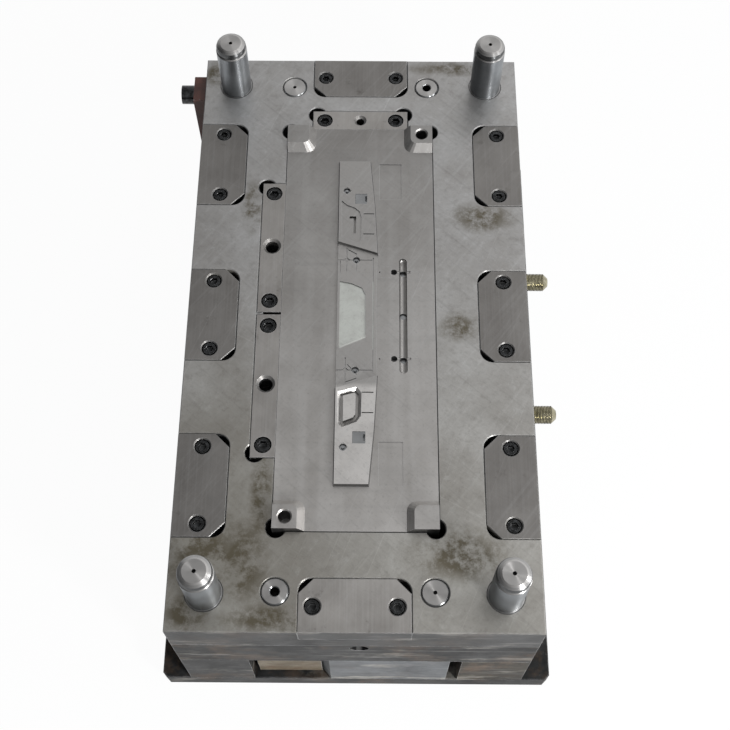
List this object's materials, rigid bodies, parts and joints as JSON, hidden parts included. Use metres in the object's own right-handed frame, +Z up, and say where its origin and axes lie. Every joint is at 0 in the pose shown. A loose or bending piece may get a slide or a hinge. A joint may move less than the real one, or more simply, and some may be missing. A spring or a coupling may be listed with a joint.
{
  "type": "injection mould base",
  "caption": "Moving half of an injection mould: stacked plates, guide pins, core insert with locks, side fittings, and an ejector set that drives two angled lifters.",
  "frame": {"origin": "centre of the knock-out bore at the underside of the clamp plate", "axes": "+Z up out of the parting face, +Y along the length towards the back, +X to the right, the side with the water fittings"},
  "size_m": [0.4725, 0.75, 0.348],
  "materials": {
    "plate_steel": "milled and ground plate steel, dull, oil stained and scuffed",
    "core_plate_steel": "ground plate steel with crossing fine scratches",
    "insert_steel": "milled and stoned mould steel",
    "ground_steel": "hardened and ground",
    "black_screw": "black oxide, oiled",
    "polished_pin": "hardened, ground and polished",
    "guide_bronze": "machined bronze",
    "yellow_plating": "yellow zinc plating",
    "strap_paint": "red-brown primer, worn"
  },
  "bodies": {
    "mould_half": {"clamp_plate": "plate_steel", "clamp_screws": "black_screw", "core_insert": "insert_steel", "core_insert_screws": "black_screw", "core_pin_grub_screws": "black_screw", "core_plate": "core_plate_steel", "ejector_guide_pins": "polished_pin", "front_block_screws": "black_screw", "front_support_block": "plate_steel", "gate_inserts": "insert_steel", "guide_pin_back_left": "polished_pin", "guide_pin_back_right": "polished_pin", "guide_pin_front_left": "polished_pin", "guide_pin_front_right": "polished_pin", "lifter_guide_blocks": "guide_bronze", "parting_block_back": "ground_steel", "parting_block_front": "ground_steel", "parting_block_left_front": "ground_steel", "parting_block_left_middle": "ground_steel", "parting_block_left_rear": "ground_steel", "parting_block_right_front": "ground_steel", "parting_block_right_middle": "ground_steel", "parting_block_right_rear": "ground_steel", "parting_block_screws": "black_screw", "plate_dowels": "polished_pin", "sleeve_core_pins": "polished_pin", "spacer_block_left": "plate_steel", "spacer_block_right": "plate_steel", "stop_buttons": "ground_steel", "strap_bolt": "black_screw", "stroke_limit_posts": "ground_steel", "support_pillar_screws": "black_screw", "support_pillars": "plate_steel", "support_plate": "plate_steel", "water_fitting_front": "yellow_plating", "water_fitting_rear": "yellow_plating", "wedge_strip_back": "ground_steel", "wedge_strip_screws": "black_screw", "wedge_strip_side_front": "ground_steel", "wedge_strip_side_rear": "ground_steel"},
    "ejector_set": {"ejector_retainer_plate": "plate_steel", "ejector_base_plate": "plate_steel", "ejector_plate_screws": "black_screw", "return_pin_back_left": "polished_pin", "return_pin_back_right": "polished_pin", "return_pin_front_left": "polished_pin", "return_pin_front_right": "polished_pin", "runner_ejector_pins": "polished_pin", "runner_puller_pin": "polished_pin", "ejector_sleeves": "polished_pin", "ejector_guide_bushes": "guide_bronze", "lifter_shoes": "plate_steel"},
    "lifter_rear": {"lifter_bar_rear": "polished_pin", "lifter_foot_rear": "polished_pin"},
    "lifter_front": {"lifter_bar_front": "polished_pin", "lifter_foot_front": "polished_pin"},
    "safety_strap": {"safety_strap": "strap_paint"}
  },
  "joints": [
    {"name": "ejector_stroke", "type": "slide", "parent": "mould_half", "child": "ejector_set", "axis": [0, 0, 1], "range_m": [0, 0.035]},
    {"name": "lifter_rear_slide", "type": "slide", "parent": "ejector_set", "child": "lifter_rear", "axis": [-1, 0, 0], "range_m": [0, 0.00492]},
    {"name": "lifter_front_slide", "type": "slide", "parent": "ejector_set", "child": "lifter_front", "axis": [-1, 0, 0], "range_m": [0, 0.00492]},
    {"name": "strap_swing", "type": "hinge", "parent": "mould_half", "child": "safety_strap", "pos_m": [-0.208, 0.3315, 0.249], "axis": [1, 0, 0], "continuous": true}
  ],
  "couplings": [
    {"joint": "lifter_rear_slide", "follows": "ejector_stroke", "ratio": 0.14054},
    {"joint": "lifter_front_slide", "follows": "ejector_stroke", "ratio": 0.14054}
  ]
}
